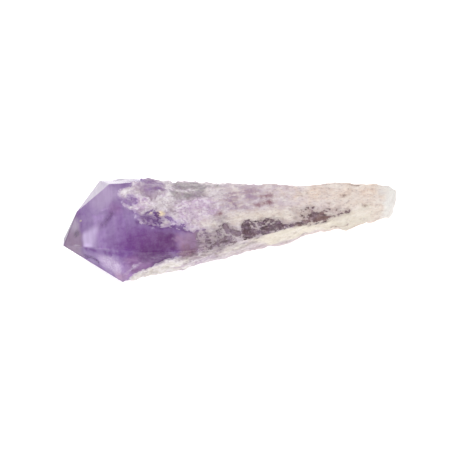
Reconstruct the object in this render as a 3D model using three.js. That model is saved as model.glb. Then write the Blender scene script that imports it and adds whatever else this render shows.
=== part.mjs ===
// A raw amethyst point: one quartz crystal with a clean six-sided tip, a rough tapering body and a
// snapped root. It lies along X on one long flat face, with its tip towards -X and its front towards -Y.
import * as THREE from 'three';
import { mergeVertices } from 'three/addons/utils/BufferGeometryUtils.js';

// Driving sizes, in millimetres.

// The six faces of the pyramid don't meet in one point. A narrow three-sided face cuts the tip off
// between them, and these are its corners: at the front, at the back and at the top.
const TIP_FRONT = [-55.1, -1.2, 12];
const TIP_BACK = [-54.9, 2.1, 10.1];
const TIP_TOP = [-49.5, 8.1, 16.8];
// The middle of the slanting face where the root snapped off.
const BREAK_MIDDLE = [55.1, 3.8, 5.2];
// The origin is on the surface that the crystal lies on, under the middle of its box.
const BOX_MIDDLE = [0.5, 0.35, 0];

// The six long edges of the crystal, in order round it, as [x, y, z] points. Each starts at its corner
// of the shoulder, where the pyramid ends and the long faces begin, and runs to the root.
const EDGES = {
  backRidge: {
    start: TIP_TOP,
    points: [
      [-37.9, 13, 24.1], [-31.9, 13, 23.6], [-22.5, 10.6, 22.4], [-13, 7.9, 20.6], [-8.5, 9.4, 19.4],
      [0, 10.9, 18.2], [10, 10.2, 17], [22, 8.4, 15.2], [27, 8.6, 14.5], [35, 9.6, 13.4],
      [51.8, 7.9, 10.4],
    ],
  },
  frontRidge: {
    start: TIP_FRONT,
    points: [
      [-37.6, -10.6, 24.5], [-29.3, -12.5, 24], [-21, -12.7, 22.8], [-8.5, -12.2, 20], [0, -9.8, 18.8],
      [17.5, -6, 15.6], [24.5, -4.9, 14.2], [38, -1.2, 11.4], [51.4, 1.2, 9.1],
    ],
  },
  frontFlank: {
    start: TIP_FRONT,
    points: [
      [-37.4, -17, 13.5], [-32.2, -16, 13.3], [-24.5, -14.9, 12.8], [-16.6, -14.3, 12.2],
      [-8.7, -12.2, 11.5], [0, -10.3, 10.7], [7.5, -8.5, 10], [12, -8.3, 9.6], [19.5, -6.8, 8.8],
      [23.5, -4.5, 8.4], [29, -4.1, 7.7], [32.7, -3.6, 7.2], [37.5, -5.2, 6.7], [44.2, -2.4, 6],
      [48, -1.2, 5.4], [52.2, -1.1, 4.6],
    ],
  },
  frontFoot: {
    start: TIP_FRONT,
    points: [[-37.2, -9.2, 0], [-10, -6.3, 0], [12, -3.6, 0], [34, -1, 0.5], [53.6, 1.1, 1]],
  },
  backFoot: {
    start: TIP_BACK,
    points: [[-40, 10.4, 0], [-10, 9.6, 0], [12, 8.6, 0], [56.1, 6.4, 1.2]],
  },
  backFlank: {
    start: TIP_TOP,
    points: [
      [-41.1, 17.4, 18.5], [-36.5, 17.8, 18], [-32.4, 17.9, 17.5], [-27.9, 17.1, 17], [-24.2, 16.4, 16.5],
      [-20.5, 15.2, 16], [-15, 15.2, 15.2], [-9, 14.9, 14.2], [0, 13.3, 12.6], [18, 10.9, 9.8],
      [35, 11, 8.4], [55.9, 7.7, 6.1],
    ],
  },
};
const ALL_EDGES = Object.values(EDGES);

// How many strips each long face has across it, in the order of the edges.
const STRIPS_ACROSS = [13, 8, 9, 8, 13, 6];
const STRIPS_ON_TIP = 5;
const STRIPS_ON_BODY = 72;
// The rings of the snapped end, as shares of the way out from its middle.
const BREAK_RINGS = [0.88, 0.7, 0.5, 0.25];
// Points nearer together than this are one point.
const WELD = 1e-3;

// The rough skin: how thick it is, and how high its lumps, ribs, growth steps and pits are.
const SKIN_DEPTH = 0.45;
const LUMP = 0.35;
const SMALL_LUMP_SHARE = 0.5;
const RIB = 0.5;
const STEP = 0.55;
const PIT = 0.6;
const BREAK_ROUGHNESS = 0.7;
// How far apart they lie, along X, across and up.
const LUMP_SPACING = [4.2, 4.2, 4.2];
const SMALL_LUMP_SPACING = [2.1, 2.1, 2.1];
const RIB_SPACING = [16, 3.6, 3.6];
const STEP_SPACING = [13, 5, 5];
const PIT_SPACING = [2.6, 2.2, 2.2];
const HACKLE_SPACING = [1, 2.3, 2.3];
// These shift the noise, so that the steps and the pits don't follow the lumps.
const STEP_SHIFT = [0, 0, 7];
const PIT_SHIFT = [40, 0, 0];
// Three levels of terrace, and the share of each level that is flat.
const LEVELS = 3;
const FLAT_SHARE = 0.75;
// Noise values where a pit begins and where it is full.
const PIT_RANGE = [0.3, 0.6];
// The pits are full near the tip and shallow near the root, and change over between these x places.
const PITTED_RANGE = [6, -16];
const SHALLOW_PIT = 0.4;
// The skin starts at the shoulder and is full this far behind it.
const SKIN_RUN_IN = 4.5;
// The flat face that the crystal lies on stays bare up to this height and back to this x, and then
// takes on the relief over this length.
const FOOT_BARE_HEIGHT = 1.2;
const FOOT_BARE_END = 12;
const FOOT_RUN_IN = 6;
// The slope at a rim of the skin: it is gone this far outside the rim and full this far inside.
const RIM_RANGE = [-0.7, 0.9];
// The rim wanders to both sides by this much.
const RIM_WANDER = 0.28;
const WANDER_SPACING = [2.6, 2.6, 2.6];
const WANDER_SHIFT = [9, 0, 0];

// Places on the surface are given by x and by the way round it, from 0 at the back ridge, over 1 at the
// front ridge, to 6 at the back ridge again. In front of this line, in pairs of the way and x, the skin
// hasn't begun and the clear crystal shows.
const SKIN_START = [
  [0, -31], [0.06, -31.5], [0.09, -35], [0.17, -35.8], [0.25, -34], [0.32, -34.9], [0.37, -33.5],
  [0.43, -31], [0.5, -30.8], [0.57, -29.4], [0.61, -24.5], [0.63, -16], [0.66, -13.8], [0.73, -12],
  [0.8, -12.6], [0.88, -11], [0.97, -12.4], [1.06, -12], [1.14, -12.9], [1.23, -14.4], [1.3, -17.4],
  [1.34, -22.6], [1.55, -25.7], [1.66, -28.2], [1.76, -30.9], [1.87, -33.7], [2, -36.8], [2.4, -36],
  [3, -37], [3.5, -35], [4, -36], [4.3, -31], [4.6, -27], [4.85, -29], [5.1, -27], [5.5, -28],
  [5.85, -29.5], [5.95, -30.5], [6, -31],
];
// Windows where the skin has chipped off: the middle as x and the way round, and the radius along the
// crystal and across it. Those of the top face end at the front ridge.
const WINDOWS = [
  { x: 4.8, way: 0.84, along: 2.6, across: 3.2 },
  { x: 10.5, way: 0.92, along: 6, across: 1.5 },
  { x: -4.5, way: 0.93, along: 3, across: 1.1 },
  { x: 27.6, way: 0.86, along: 3.8, across: 2 },
  { x: -4, way: 4.6, along: 5, across: 2.5 },
  { x: 14, way: 4.4, along: 3, across: 1.6 },
  { x: -20, way: 2.5, along: 4, across: 2 },
  { x: 4, way: 2.4, along: 3, across: 1.5 },
  { x: 30, way: 5.4, along: 3, across: 1 },
];
const LAST_WAY_OF_WINDOWS = 0.985;
const MM_PER_WAY = 14;

const fraction = (value) => value - Math.floor(value);
const mix = (from, to, share) => from + (to - from) * share;
const mixPoint = (from, to, share) => from.map((value, axis) => mix(value, to[axis], share));

// A soft step: 0 below low, 1 above high. With low above high it steps down.
function smooth(low, high, value) {
  const share = Math.min(1, Math.max(0, (value - low) / (high - low)));
  return share * share * (3 - 2 * share);
}

// A fixed pseudo-random number from -1 to 1 at each whole-number point: the fraction of a large sine.
const SINE_STEPS = [127.1, 311.7, 74.7];
const SINE_STRETCH = 43758.5453;
function lattice(i, j, k) {
  const angle = i * SINE_STEPS[0] + j * SINE_STEPS[1] + k * SINE_STEPS[2];
  return 2 * fraction(Math.sin(angle) * SINE_STRETCH) - 1;
}

// Gradient noise from about -1 to 1. Each whole-number point has a random slope, and the value is that
// slope times the way from the point, blended softly between the eight corners of a cell. The slopes
// along y and z come from lattice points this far away from those of the slopes along x.
const Y_SLOPE_AWAY = 19;
const Z_SLOPE_AWAY = 23;
// Stretches the sum to about -1 to 1.
const NOISE_STRETCH = 1.9;
function noise(point, spacing, shift = [0, 0, 0]) {
  const scaled = point.map((value, axis) => value / spacing[axis] + shift[axis]);
  const [i, j, k] = scaled.map(Math.floor);
  const [x, y, z] = scaled.map(fraction);
  const [u, v, w] = [smooth(0, 1, x), smooth(0, 1, y), smooth(0, 1, z)];
  let total = 0;
  for (const di of [0, 1]) {
    for (const dj of [0, 1]) {
      for (const dk of [0, 1]) {
        const [a, b, c] = [i + di, j + dj, k + dk];
        const slope = lattice(a, b, c) * (x - di) + lattice(a + Y_SLOPE_AWAY, b, c) * (y - dj)
          + lattice(a, b + Z_SLOPE_AWAY, c) * (z - dk);
        total += mix(1 - u, u, di) * mix(1 - v, v, dj) * mix(1 - w, w, dk) * slope;
      }
    }
  }
  return NOISE_STRETCH * total;
}

// Where an edge is at x, from the straight stretches between its points. Before the first point and
// after the last it keeps their place across.
function edgeAt(edge, x) {
  const next = edge.points.findIndex((point) => point[0] >= x);
  const from = edge.points[Math.max(0, (next < 0 ? edge.points.length : next) - 1)];
  const to = edge.points[next < 0 ? edge.points.length - 1 : next];
  const share = to[0] > from[0] ? (x - from[0]) / (to[0] - from[0]) : 0;
  const [, y, z] = mixPoint(from, to, share);
  return [x, y, z];
}

// The point of the crystal without its skin at x, and at a way round it.
function onSurface(x, way) {
  const side = Math.floor(way);
  const [first, second] = [side, side + 1].map((number) => edgeAt(ALL_EDGES[number % 6], x));
  return mixPoint(first, second, way - side);
}

const toPoint = (from, to) => Math.hypot(to[0] - from[0], to[1] - from[1], to[2] - from[2]);

// How far a point is from the nearest of the straight stretches between some corners.
function toLine(point, corners) {
  let nearest = Infinity;
  for (let n = 1; n < corners.length; n += 1) {
    const [from, to] = [corners[n - 1], corners[n]];
    const step = to.map((value, axis) => value - from[axis]);
    const along = step.reduce((sum, value, axis) => sum + value * (point[axis] - from[axis]), 0);
    const share = Math.min(1, Math.max(0, along / toPoint(from, to) ** 2));
    nearest = Math.min(nearest, toPoint(point, mixPoint(from, to, share)));
  }
  return nearest;
}

const START_LINE = SKIN_START.map(([way, x]) => onSurface(x, way));

// The x at which the skin begins at a way round the crystal.
function startAt(way) {
  const next = SKIN_START.findIndex((pair) => pair[0] >= way);
  if (next <= 0) return SKIN_START[0][1];
  const [from, to] = [SKIN_START[next - 1], SKIN_START[next]];
  return mix(from[1], to[1], (way - from[0]) / (to[0] - from[0]));
}

// How much of the skin is there, from 0 where the clear crystal shows to 1.
function skinCover(point, way) {
  const wander = RIM_WANDER * noise(point, WANDER_SPACING, WANDER_SHIFT);
  const begun = point[0] > startAt(way) ? 1 : -1;
  let inside = begun * toLine(point, START_LINE);
  for (const { x, way: middleWay, along, across } of WINDOWS) {
    const middle = onSurface(x, middleWay);
    const aside = Math.hypot(point[1] - middle[1], point[2] - middle[2]);
    const outside = (Math.hypot((point[0] - x) / along, aside / across) - 1) * across;
    const pastRidge = middleWay < 1 ? MM_PER_WAY * (way - LAST_WAY_OF_WINDOWS) : -Infinity;
    inside = Math.min(inside, Math.max(outside, pastRidge));
  }
  return smooth(...RIM_RANGE, inside + wander);
}

// How far the surface stands out at a point of the body: skin, lumps, ribs along the crystal, growth
// steps like flat terraces, and pits.
function relief(point, way) {
  const lumps = noise(point, LUMP_SPACING) + SMALL_LUMP_SHARE * noise(point, SMALL_LUMP_SPACING);
  const ribs = noise(point, RIB_SPACING);
  const height = (1 + noise(point, STEP_SPACING, STEP_SHIFT)) * LEVELS / 2;
  const level = Math.floor(height) + smooth(FLAT_SHARE, 1, fraction(height));
  const terrace = level / (LEVELS / 2) - 1;
  const pitted = mix(SHALLOW_PIT, 1, smooth(...PITTED_RANGE, point[0]));
  const pits = pitted * smooth(...PIT_RANGE, noise(point, PIT_SPACING, PIT_SHIFT));
  const rough = SKIN_DEPTH + LUMP * lumps + RIB * ribs - PIT * pits;
  return skinCover(point, way) * rough + STEP * terrace;
}

// A closed ring of points through six corners, with each side cut into its strips.
function ringThrough(corners) {
  return corners.flatMap((from, side) => {
    const to = corners[(side + 1) % corners.length];
    const strips = STRIPS_ACROSS[side];
    return Array.from({ length: strips }, (_, strip) => mixPoint(from, to, strip / strips));
  });
}

// The way round of each point of a ring.
const WAYS = STRIPS_ACROSS.flatMap((strips, side) =>
  Array.from({ length: strips }, (_, strip) => side + strip / strips));

const middleOf = (corners) => [0, 1, 2].map((axis) =>
  corners.reduce((sum, point) => sum + point[axis], 0) / corners.length);

const SHOULDER = middleOf(ALL_EDGES.map((edge) => edge.points[0]));

// A ring of the pyramid, share of the way from the tip to the shoulder. Its faces are flat.
function tipRing(share) {
  return ringThrough(ALL_EDGES.map((edge) => mixPoint(edge.start, edge.points[0], share)));
}

// A ring of the body, share of the way from the shoulder to the root, with the rough skin on it.
function bodyRing(share) {
  const corners = ALL_EDGES.map((edge) => {
    const [first, last] = [edge.points[0], edge.points[edge.points.length - 1]];
    return edgeAt(edge, mix(first[0], last[0], share));
  });
  const middle = middleOf(corners);
  const runIn = smooth(0, SKIN_RUN_IN, middle[0] - SHOULDER[0]);
  return ringThrough(corners).map((point, column) => {
    const [x, y, z] = point;
    const [outY, outZ] = [y - middle[1], z - middle[2]];
    const onFoot = smooth(FOOT_BARE_END + FOOT_RUN_IN, FOOT_BARE_END, x);
    const bare = mix(1, smooth(0, FOOT_BARE_HEIGHT, z), onFoot);
    const scale = bare * runIn * relief(point, WAYS[column]) / Math.hypot(outY, outZ);
    return [x, y + outY * scale, Math.max(0, z + outZ * scale)];
  });
}

// A ring of the snapped end, share of the way out from its middle to the last ring of the body.
function breakRing(share, rim) {
  return rim.map((point) => {
    const [x, y, z] = mixPoint(BREAK_MIDDLE, point, share);
    return [x + BREAK_ROUGHNESS * (1 - share ** 4) * noise([0, y, z], HACKLE_SPACING), y, z];
  });
}

function crystalGeometry() {
  const rings = [];
  for (let n = 0; n < STRIPS_ON_TIP; n += 1) rings.push(tipRing(n / STRIPS_ON_TIP));
  for (let n = 0; n <= STRIPS_ON_BODY; n += 1) rings.push(bodyRing(n / STRIPS_ON_BODY));
  const rim = rings[rings.length - 1];
  for (const share of BREAK_RINGS) rings.push(breakRing(share, rim));

  const around = rim.length;
  const tipMiddle = middleOf([TIP_FRONT, TIP_BACK, TIP_TOP]);
  const positions = [...rings.flat(), BREAK_MIDDLE, tipMiddle].flat();
  const middle = rings.length * around;
  const triangles = [];
  for (let row = 0; row + 1 < rings.length; row += 1) {
    for (let column = 0; column < around; column += 1) {
      const [a, b] = [row * around + column, row * around + (column + 1) % around];
      const [c, d] = [a + around, b + around];
      triangles.push([a, b, c], [b, d, c]);
    }
  }
  for (let column = 0; column < around; column += 1) {
    const next = (column + 1) % around;
    triangles.push([middle - around + column, middle - around + next, middle], [next, column, middle + 1]);
  }

  const loose = new THREE.BufferGeometry();
  loose.setAttribute('position', new THREE.Float32BufferAttribute(positions, 3));
  loose.setIndex(triangles.flat());
  return withoutSlivers(mergeVertices(loose, WELD));
}

// Round the tip's small face many points fall together, which leaves triangles with no area: they are
// dropped.
function withoutSlivers(geometry) {
  const index = Array.from(geometry.index.array);
  const kept = [];
  for (let n = 0; n < index.length; n += 3) {
    const [a, b, c] = index.slice(n, n + 3);
    if (a !== b && b !== c && c !== a) kept.push(a, b, c);
  }
  geometry.setIndex(kept);
  geometry.computeVertexNormals();
  return geometry;
}

const crystal = new THREE.Mesh(
  crystalGeometry(),
  new THREE.MeshStandardMaterial({ color: 0xb9a3bd, roughness: 0.45, metalness: 0, flatShading: true }),
);
crystal.name = 'amethyst_point';
crystal.position.set(-BOX_MIDDLE[0], -BOX_MIDDLE[1], -BOX_MIDDLE[2]);

const part = new THREE.Group();
part.add(crystal);

export default part;
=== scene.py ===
# %% [markdown]
# # A raw amethyst point
#
# This scene dresses one quartz crystal: a clear purple tip with flat faces, a long body under a rough
# cream and lilac skin, and a snapped root. The solid comes from the packed model, which fixes its size
# and place. Everything here is worked out with numpy and shader nodes, so that each step can be read
# and changed.

# %% Load the packed model
import math

import bmesh
import bpy
import numpy as np
from mathutils import Matrix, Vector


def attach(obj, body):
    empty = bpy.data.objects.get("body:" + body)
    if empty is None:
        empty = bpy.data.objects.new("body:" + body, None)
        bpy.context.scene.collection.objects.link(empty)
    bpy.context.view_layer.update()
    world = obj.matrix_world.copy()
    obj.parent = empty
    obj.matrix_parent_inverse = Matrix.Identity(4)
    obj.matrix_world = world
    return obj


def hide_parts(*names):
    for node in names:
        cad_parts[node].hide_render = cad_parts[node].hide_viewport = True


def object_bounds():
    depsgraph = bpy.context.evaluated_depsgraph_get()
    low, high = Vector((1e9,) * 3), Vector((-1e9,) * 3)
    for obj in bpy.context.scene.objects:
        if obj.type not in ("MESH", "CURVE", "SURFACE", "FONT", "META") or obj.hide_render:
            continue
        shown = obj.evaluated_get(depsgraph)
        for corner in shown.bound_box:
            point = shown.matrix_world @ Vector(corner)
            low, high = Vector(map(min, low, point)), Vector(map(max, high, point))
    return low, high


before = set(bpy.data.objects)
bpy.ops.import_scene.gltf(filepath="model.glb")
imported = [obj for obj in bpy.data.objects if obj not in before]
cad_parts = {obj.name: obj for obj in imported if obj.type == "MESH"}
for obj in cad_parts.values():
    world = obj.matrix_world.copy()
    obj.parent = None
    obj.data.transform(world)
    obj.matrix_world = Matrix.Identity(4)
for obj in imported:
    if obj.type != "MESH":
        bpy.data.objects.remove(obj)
CRYSTAL = "amethyst_point"
MM = 0.001
solid_box = [list(point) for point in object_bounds()]
print("the solid's box in mm:", np.round(np.array(solid_box) / MM, 2).tolist())

# %% [markdown]
# ## The camera
#
# The photograph looks down steeply on the front of the crystal, from far away through a long lens. The
# tip points to the lower left of the picture, which is a small turn of the camera round the crystal. A
# constraint could aim the camera, but three plain vectors say the same and can be checked: right, up
# and back.

# %% Camera
CAMERA_AZIMUTH = math.radians(-7.3)
CAMERA_ELEVATION = math.radians(65)
LENS = 135
FRAME_WIDTH = 149.8 * MM
AIM = np.array([-1.35, -1.9, 10]) * MM


def looking(azimuth, elevation, target, distance):
    """The matrix of a camera or light that looks at target: its back axis points from the target to it,
    its right axis is level, and its up axis is square to both."""
    level = math.cos(elevation)
    back = np.array([math.sin(azimuth) * level, -math.cos(azimuth) * level, math.sin(elevation)])
    right = np.array([math.cos(azimuth), math.sin(azimuth), 0])
    place = np.eye(4)
    place[:3, 0] = right
    place[:3, 1] = np.cross(back, right)
    place[:3, 2] = back
    place[:3, 3] = target + back * distance
    return Matrix(place.tolist())


camera_data = bpy.data.cameras.new("camera")
camera_data.lens = LENS
camera_distance = FRAME_WIDTH * LENS / camera_data.sensor_width
camera = bpy.data.objects.new("camera", camera_data)
camera.matrix_world = looking(CAMERA_AZIMUTH, CAMERA_ELEVATION, AIM, camera_distance)
bpy.context.collection.objects.link(camera)
bpy.context.scene.camera = camera
print("camera distance in mm:", round(camera_distance / MM))

# %% [markdown]
# ## Noise, the stuff of rough stone
#
# Stone is rough at every size, so its surface is a sum of noises. Blender's own noise textures work in
# shaders, but a shape needs numbers at its vertices. These functions take an array of points and give
# one number for each, with no loop over the points.

# %% Soft steps and noise
HASH_STEPS = (127.1, 311.7, 74.7)
HASH_SCALE = 43758.5453
SLOPE_SHIFTS = (19, 23)
NOISE_SCALE = 1.9


def smooth(low, high, value):
    """A soft step: 0 below low, 1 above high, and s times s times (3 - 2s) between. With low above high
    it steps down."""
    share = np.clip((value - low) / (high - low), 0, 1)
    return share * share * (3 - 2 * share)


def lattice(i, j, k):
    """A fixed pseudo-random number from -1 to 1 at each whole-number point: the fraction of a large
    sine."""
    value = np.sin(i * HASH_STEPS[0] + j * HASH_STEPS[1] + k * HASH_STEPS[2]) * HASH_SCALE
    return 2 * (value - np.floor(value)) - 1


def noise(points, size, shift=(0, 0, 0)):
    """Gradient noise from about -1 to 1. Each whole-number point has a random slope, and the value is
    that slope times the way from the point, blended softly between the eight corners of a cell. size is
    the cell's size in mm, one number or one for each axis."""
    scaled = points / np.asarray(size, float) + shift
    cell = np.floor(scaled)
    i, j, k = cell.T
    x, y, z = (scaled - cell).T
    u, v, w = smooth(0, 1, np.array([x, y, z]))
    total = 0
    for di, dj, dk in np.ndindex(2, 2, 2):
        a, b, c = i + di, j + dj, k + dk
        slope = lattice(a, b, c) * (x - di)
        slope += lattice(a + SLOPE_SHIFTS[0], b, c) * (y - dj)
        slope += lattice(a, b + SLOPE_SHIFTS[1], c) * (z - dk)
        weight = (u if di else 1 - u) * (v if dj else 1 - v) * (w if dk else 1 - w)
        total = total + weight * slope
    return NOISE_SCALE * total


diagonal = np.linspace(0, 60, 600)[:, None] * [1, 0.7, 0.4]
along_diagonal = noise(diagonal, 2)
print("noise along a line from", round(along_diagonal.min(), 2), "to", round(along_diagonal.max(), 2))

# %% [markdown]
# The skin near the tip is a crust of tiny crystals. Smooth noise can't show their flat sides, so the
# next function scatters seeds and gives each of them a tilted plane of its own.

# %% Grains
TILT_SHIFTS = (31, 57)
SEED_JITTER = 0.45
GRAIN_TILT = 1.1
GRAIN_FALL = 0.35
GRAIN_STEP = 0.5


def crumbs(points, size):
    """Small flat-sided grains: each point belongs to the nearest of a set of scattered seeds, and lies
    on a plane through it that each seed tilts its own way."""
    scaled = points / size
    cell = np.floor(scaled)
    nearest = np.full(len(points), 9.0)
    height = np.zeros(len(points))
    for step in np.ndindex(3, 3, 3):
        i, j, k = (cell + np.array(step) - 1).T
        second = lattice(i + TILT_SHIFTS[0], j, k)
        third = lattice(i, j + TILT_SHIFTS[1], k)
        tilt = np.stack([lattice(i, j, k), second, third], 1)
        away = scaled - (np.stack([i, j, k], 1) + 0.5 + SEED_JITTER * tilt)
        distance = np.linalg.norm(away, axis=1)
        closer = distance < nearest
        nearest = np.where(closer, distance, nearest)
        slope = np.einsum("ij,ij->i", away, tilt[:, ::-1])
        plane = GRAIN_TILT * slope - GRAIN_FALL * distance + GRAIN_STEP * tilt[:, 0]
        height = np.where(closer, plane, height)
    return height


print("spread of the grains along the same line:", round(crumbs(diagonal, 2).std(), 2))

# %% [markdown]
# ## The form of the crystal
#
# Quartz grows as a six-sided prism that ends in a pyramid. This one tapers to its root, and a narrow
# three-sided face cuts the tip off, because the pyramid's faces didn't grow at one speed. A box model
# with a bevel would give the faces but not the long irregular edges, so the form is drawn as the real
# one is read: six long edges, each a line of points, with flat faces between them. The same edges make
# the solid, so this finer surface fits it.

# %% The six edges
# Points are in millimetres, before the crystal is moved to stand over the origin.
BOX_MIDDLE = np.array([0.5, 0.35, 0])
TIP_FRONT = [-55.1, -1.2, 12]
TIP_BACK = [-54.9, 2.1, 10.1]
TIP_TOP = [-49.5, 8.1, 16.8]
BREAK_MIDDLE = [55.1, 3.8, 5.2]
EDGES = {
    "back ridge": [
        TIP_TOP, [-37.9, 13, 24.1], [-31.9, 13, 23.6], [-22.5, 10.6, 22.4], [-13, 7.9, 20.6],
        [-8.5, 9.4, 19.4], [0, 10.9, 18.2], [10, 10.2, 17], [22, 8.4, 15.2], [27, 8.6, 14.5],
        [35, 9.6, 13.4], [51.8, 7.9, 10.4],
    ],
    "front ridge": [
        TIP_FRONT, [-37.6, -10.6, 24.5], [-29.3, -12.5, 24], [-21, -12.7, 22.8], [-8.5, -12.2, 20],
        [0, -9.8, 18.8], [17.5, -6, 15.6], [24.5, -4.9, 14.2], [38, -1.2, 11.4], [51.4, 1.2, 9.1],
    ],
    "front flank": [
        TIP_FRONT, [-37.4, -17, 13.5], [-32.2, -16, 13.3], [-24.5, -14.9, 12.8], [-16.6, -14.3, 12.2],
        [-8.7, -12.2, 11.5], [0, -10.3, 10.7], [7.5, -8.5, 10], [12, -8.3, 9.6], [19.5, -6.8, 8.8],
        [23.5, -4.5, 8.4], [29, -4.1, 7.7], [32.7, -3.6, 7.2], [37.5, -5.2, 6.7], [44.2, -2.4, 6],
        [48, -1.2, 5.4], [52.2, -1.1, 4.6],
    ],
    "front foot": [
        TIP_FRONT, [-37.2, -9.2, 0], [-10, -6.3, 0], [12, -3.6, 0], [34, -1, 0.5], [53.6, 1.1, 1],
    ],
    "back foot": [TIP_BACK, [-40, 10.4, 0], [-10, 9.6, 0], [12, 8.6, 0], [56.1, 6.4, 1.2]],
    "back flank": [
        TIP_TOP, [-41.1, 17.4, 18.5], [-36.5, 17.8, 18], [-32.4, 17.9, 17.5], [-27.9, 17.1, 17],
        [-24.2, 16.4, 16.5], [-20.5, 15.2, 16], [-15, 15.2, 15.2], [-9, 14.9, 14.2], [0, 13.3, 12.6],
        [18, 10.9, 9.8], [35, 11, 8.4], [55.9, 7.7, 6.1],
    ],
}
lines = [np.array(points, float) for points in EDGES.values()]
starts = np.array([line[0] for line in lines])
shoulder = np.array([line[1] for line in lines])
print("length of the pyramid in mm:", round(shoulder[:, 0].mean() - starts[:, 0].min(), 1))

# %% [markdown]
# The surface is a grid: rows are rings round the crystal, and columns run from the tip to the root.
# Six of the columns are the edges themselves, so the ridges stay as sharp as the faces meet. Beside
# each edge lies one more column very close to it, and the edge is pulled in a little, which gives the
# tiny worn bevel that catches the light.

# %% The grid
ACROSS = [62, 40, 43, 40, 62, 30]
TIP_ROWS = 40
BODY_ROWS = 290
BREAK_ROWS = 12
BEVEL_SHARE = 0.006
BEVEL_DEPTH = 0.05


def side_columns(count):
    """Shares of the way across one face: 0 at its edge, then a narrow strip, then even steps."""
    even_steps = np.linspace(0, 1, count - 1)[1:-1]
    return np.concatenate([[0, BEVEL_SHARE], even_steps, [1 - BEVEL_SHARE]])


column_side = np.concatenate([np.full(count, side) for side, count in enumerate(ACROSS)])
column_share = np.concatenate([side_columns(count) for count in ACROSS])[:, None]
on_edge = column_share[:, 0] == 0


def rings(corners):
    """Rings through rows of six corners: each column is a fixed share of the way from one to the next."""
    after = np.roll(corners, -1, axis=1)
    return corners[:, column_side] * (1 - column_share) + after[:, column_side] * column_share


def along_edge(line, x):
    """The point of an edge at x, on the straight stretches between its points."""
    return np.stack([x, np.interp(x, line[:, 0], line[:, 1]), np.interp(x, line[:, 0], line[:, 2])], -1)


tip_share = np.concatenate([np.linspace(0, 1, TIP_ROWS)[:-1], [1 - BEVEL_SHARE]])[:, None, None]
tip_corners = starts * (1 - tip_share) + shoulder * tip_share
body_share = np.linspace(0, 1, BODY_ROWS)
body_corners = np.stack(
    [along_edge(line, line[1, 0] + (line[-1, 0] - line[1, 0]) * body_share) for line in lines], 1
)
break_share = np.linspace(1, 0, BREAK_ROWS + 1)[1:-1, None, None]
flat_tip = rings(tip_corners)
flat_body = rings(body_corners)
flat_break = np.array(BREAK_MIDDLE) * (1 - break_share) + flat_body[-1] * break_share
flat_grid = np.concatenate([flat_tip, flat_body, flat_break])
rows, around = flat_grid.shape[:2]
end_middles = [BREAK_MIDDLE, np.mean([TIP_FRONT, TIP_BACK, TIP_TOP], axis=0)]
plain = np.concatenate([flat_grid.reshape(-1, 3), end_middles])
way = np.append(np.tile(column_side + column_share[:, 0], rows), [0, 0])
print("rows:", rows, "columns:", around)

# %% [markdown]
# ## A map of the stone
#
# Everything on the surface is placed on a map: x in millimetres along the crystal, and the way round
# it, which is 0 at the back ridge, 1 at the front ridge, 2 at the front flank, and so on to 6. A place
# is then two numbers that can be read off the real stone. Ovals and strokes on this map mark where the
# skin is missing and where each tint lies. Painting by hand would be quicker but couldn't be repeated.

# %% Map helpers
def on_surface(x, place):
    """The point of the plain crystal at x, and at a way round it: between two edges, by the share."""
    side, share = divmod(place, 1)
    first = along_edge(lines[int(side) % 6], np.array(float(x)))
    second = along_edge(lines[int(side + 1) % 6], np.array(float(x)))
    return first * (1 - share) + second * share


def oval(x, place, along, across):
    """How many mm each vertex is outside an oval, roughly: the distance along x over one radius and the
    distance across over the other make the legs of a right angle, and its long side less 1 is scaled
    back to mm."""
    gap = plain - on_surface(x, place)
    return (np.hypot(gap[:, 0] / along, np.linalg.norm(gap[:, 1:], axis=1) / across) - 1) * across


def stroke(width, *places):
    """How many mm each vertex is outside a stroke of some width: the distance to the nearest point of
    each straight stretch between the places, less half the width."""
    corners = [on_surface(*place) for place in places]
    nearest = np.full(len(plain), 1e9)
    for start, end in zip(corners, corners[1:]):
        step = end - start
        share = np.clip((plain - start) @ step / (step @ step), 0, 1)
        gap = plain - start - share[:, None] * step
        nearest = np.minimum(nearest, np.linalg.norm(gap, axis=1))
    return nearest - width / 2


print("the front ridge over the middle, in mm:", on_surface(0, 1).round(1).tolist())

# %% [markdown]
# No rim on the stone is smooth. One noise, made once, bends the rims of all areas, so that patches that
# touch stay side by side.

# %% Ragged areas
WANDER = 0.7 * noise(plain, 2.6, (9, 0, 0)) + 0.45 * noise(plain, 1.1) + 0.25 * noise(plain, 0.6)


def area(ragged, soft, *shapes):
    """1 inside any of the shapes and 0 outside. The rim wanders by ragged mm and is 2 times soft mm
    wide."""
    return smooth(soft, -soft, np.min(shapes, axis=0) + ragged * WANDER)


print("rims wander by up to", round(np.abs(WANDER).max(), 2), "times an area's raggedness")

# %% [markdown]
# ## Where the skin is missing
#
# The body is covered by a thin skin of later, milky quartz. It begins behind the tip along a broken
# line, and further back it has chipped off in places and shows the clear dark quartz inside. Where the
# skin ends it stands up as a small ledge, so the same numbers raise the surface and colour it. They are
# distances in millimetres, above 0 inside the skin and below 0 where it is missing.

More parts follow.
